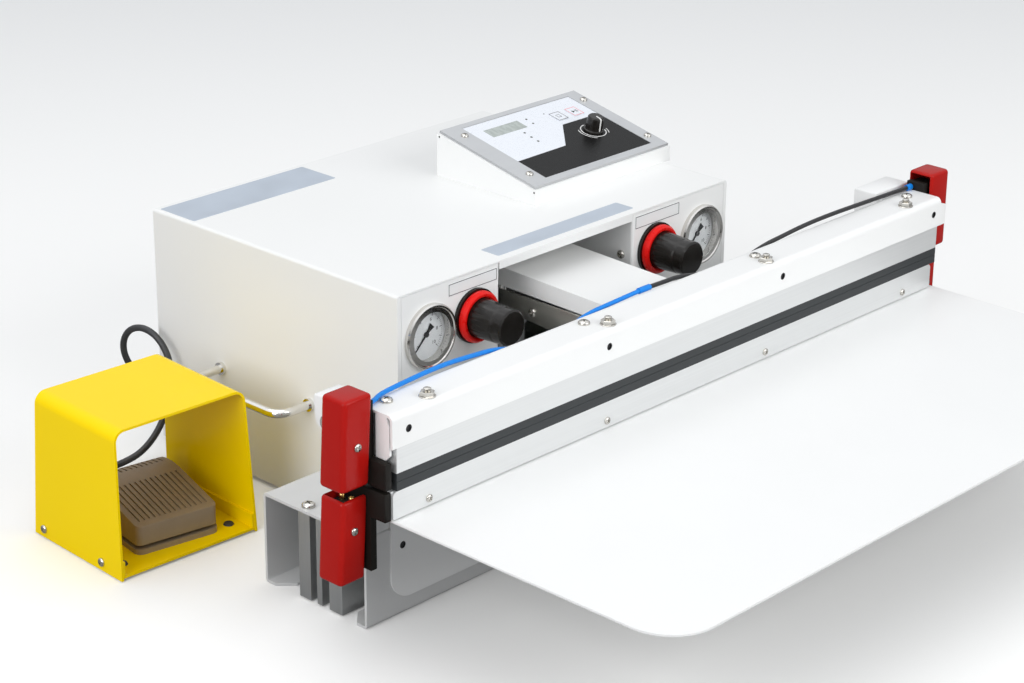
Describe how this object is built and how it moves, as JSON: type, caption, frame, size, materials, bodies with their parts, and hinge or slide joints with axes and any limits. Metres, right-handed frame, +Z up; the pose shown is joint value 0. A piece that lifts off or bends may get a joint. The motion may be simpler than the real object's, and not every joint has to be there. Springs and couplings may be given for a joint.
{
  "type": "gas flush vacuum sealer",
  "caption": "Bench bag sealer: a long air-driven upper jaw over a fixed jaw and work tray, a rear housing with gauges, regulators and timer box, and a guarded foot switch.",
  "frame": {"origin": "on the standing surface, in the middle of the base channel's front lip", "axes": "+X along the jaws to the right seen from the operator, +Y from the jaws to the rear housing, +Z up"},
  "size_m": [0.7657, 0.7903, 0.2536],
  "materials": {
    "white_paint": "fine textured white powder coat",
    "grey_steel": "bare steel sheet",
    "aluminium_bar": "mill finish aluminium",
    "plate_white": "white painted steel plate",
    "post_aluminium": "extruded aluminium",
    "black_rubber": "black rubber",
    "seal_black": "black sealing strip",
    "black_plate": "black phenolic sheet",
    "red_cap": "red moulded plastic",
    "red_nut": "red moulded plastic",
    "black_plastic": "black moulded plastic",
    "chrome_bezel": "polished bezel",
    "dial_white": "white enamel dial",
    "glass": "clear glass",
    "needle_black": "black needle",
    "bezel_grey": "grey satin panel",
    "membrane": "printed film",
    "key_film": "printed film key",
    "chrome": "chrome plate",
    "screw_steel": "nickel plated steel",
    "lead_blue": "blue silicone sleeve",
    "yellow_paint": "yellow gloss paint",
    "brown_plastic": "brown moulded plastic",
    "cable_black": "black PVC cable",
    "stainless": "stainless steel",
    "zinc_block": "dark cast block"
  },
  "bodies": {
    "root": {"housing_cover": "white_paint", "floor_pan": "grey_steel", "housing_feet": "black_rubber", "front_panels": "white_paint", "rear_panel": "white_paint", "panel_screws": "screw_steel", "carry_handles": "chrome", "gauge_cases": "chrome_bezel", "gauge_dials": "dial_white", "gauge_glasses": "glass", "regulator_bodies": "black_plastic", "regulator_nuts": "red_nut", "control_box": "white_paint", "control_bezel": "bezel_grey", "control_membrane": "membrane", "pivot_shaft": "stainless", "pivot_bracket": "grey_steel", "lift_cylinder": "aluminium_bar", "lower_jaw_bar": "aluminium_bar", "lower_jaw_plate": "plate_white", "lower_seal_rubber": "seal_black", "lower_caps": "red_cap", "lower_insulators": "black_plate", "lower_fasteners": "screw_steel", "base_channel": "grey_steel", "base_posts": "post_aluminium", "work_tray": "white_paint", "power_inlet": "black_plastic", "air_fittings": "black_plastic", "nozzle_block": "aluminium_bar", "guard_shell": "yellow_paint", "guard_base": "yellow_paint", "guard_screws": "screw_steel", "guard_feet": "black_rubber", "switch_base": "brown_plastic", "pedal_pin": "stainless", "cable_relief": "cable_black", "pedal_cable": "cable_black", "cable_coil": "cable_black", "cable_gland": "black_plastic"},
    "upper_jaw": {"lift_arm": "white_paint", "jaw_casing": "white_paint", "upper_jaw_bar": "aluminium_bar", "upper_seal_strip": "seal_black", "jaw_fasteners": "screw_steel", "upper_insulators": "black_plate", "upper_caps": "red_cap", "jaw_end_blocks": "white_paint", "jaw_leads": "lead_blue"},
    "rod": {"cylinder_rod": "chrome"},
    "nozzle": {"nozzle": "stainless"},
    "needle_left": {"gauge_needle_left": "needle_black"},
    "needle_right": {"gauge_needle_right": "needle_black"},
    "knob_left": {"regulator_knob_left": "black_plastic"},
    "knob_right": {"regulator_knob_right": "black_plastic"},
    "timer_knob": {"control_knob": "black_plastic"},
    "start_key": {"key_start": "key_film"},
    "mode_key": {"key_mode": "key_film"},
    "mains_rocker": {"power_switch": "black_plastic"},
    "pedal": {"switch_pedal": "brown_plastic"}
  },
  "joints": [
    {"name": "jaw_lift", "type": "hinge", "parent": "root", "child": "upper_jaw", "pos_m": [0, 0.3, 0.15], "axis": [-1, 0, 0], "range_deg": [0, 4.5]},
    {"name": "rod_slide", "type": "slide", "parent": "root", "child": "rod", "axis": [0, 0, 1], "range_m": [0, 0.012]},
    {"name": "nozzle_slide", "type": "slide", "parent": "root", "child": "nozzle", "axis": [0, -1, 0], "range_m": [0, 0.0902]},
    {"name": "needle_left_turn", "type": "hinge", "parent": "root", "child": "needle_left", "pos_m": [-0.1656, 0.068, 0.17], "axis": [0, 1, 0], "range_deg": [0, 270], "stiffness_Nm_per_rad": 0.00005, "springref_deg": -22.92},
    {"name": "needle_right_turn", "type": "hinge", "parent": "root", "child": "needle_right", "pos_m": [0.1656, 0.068, 0.17], "axis": [0, 1, 0], "range_deg": [0, 270], "stiffness_Nm_per_rad": 0.00005, "springref_deg": -22.92},
    {"name": "knob_left_turn", "type": "hinge", "parent": "root", "child": "knob_left", "pos_m": [-0.1154, 0.05, 0.1735], "axis": [0, 1, 0], "range_deg": [-720, 720]},
    {"name": "knob_right_turn", "type": "hinge", "parent": "root", "child": "knob_right", "pos_m": [0.105, 0.05, 0.1735], "axis": [0, 1, 0], "range_deg": [-720, 720]},
    {"name": "timer_turn", "type": "hinge", "parent": "root", "child": "timer_knob", "pos_m": [0.161, 0.19436, 0.23863], "axis": [0, -0.213, 0.977], "range_deg": [-150, 150]},
    {"name": "start_press", "type": "slide", "parent": "root", "child": "start_key", "axis": [0, 0.213, -0.977], "range_m": [0, 0.0005], "stiffness_N_per_m": 400, "springref_m": -0.0002},
    {"name": "mode_press", "type": "slide", "parent": "root", "child": "mode_key", "axis": [0, 0.213, -0.977], "range_m": [0, 0.0005], "stiffness_N_per_m": 400, "springref_m": -0.0002},
    {"name": "mains_rock", "type": "hinge", "parent": "root", "child": "mains_rocker", "pos_m": [0.12, 0.3658, 0.07125], "axis": [1, 0, 0], "range_deg": [0, 16]},
    {"name": "pedal_press", "type": "hinge", "parent": "root", "child": "pedal", "pos_m": [-0.31148, 0.27979, 0.0175], "axis": [0.9863, -0.165, 0], "range_deg": [0, 1.7], "stiffness_Nm_per_rad": 30, "springref_deg": -0.57}
  ],
  "couplings": [
    {"joint": "rod_slide", "follows": "jaw_lift", "m_per_rad": 0.15},
    {"joint": "nozzle_slide", "follows": "jaw_lift", "m_per_rad": 1.146}
  ]
}
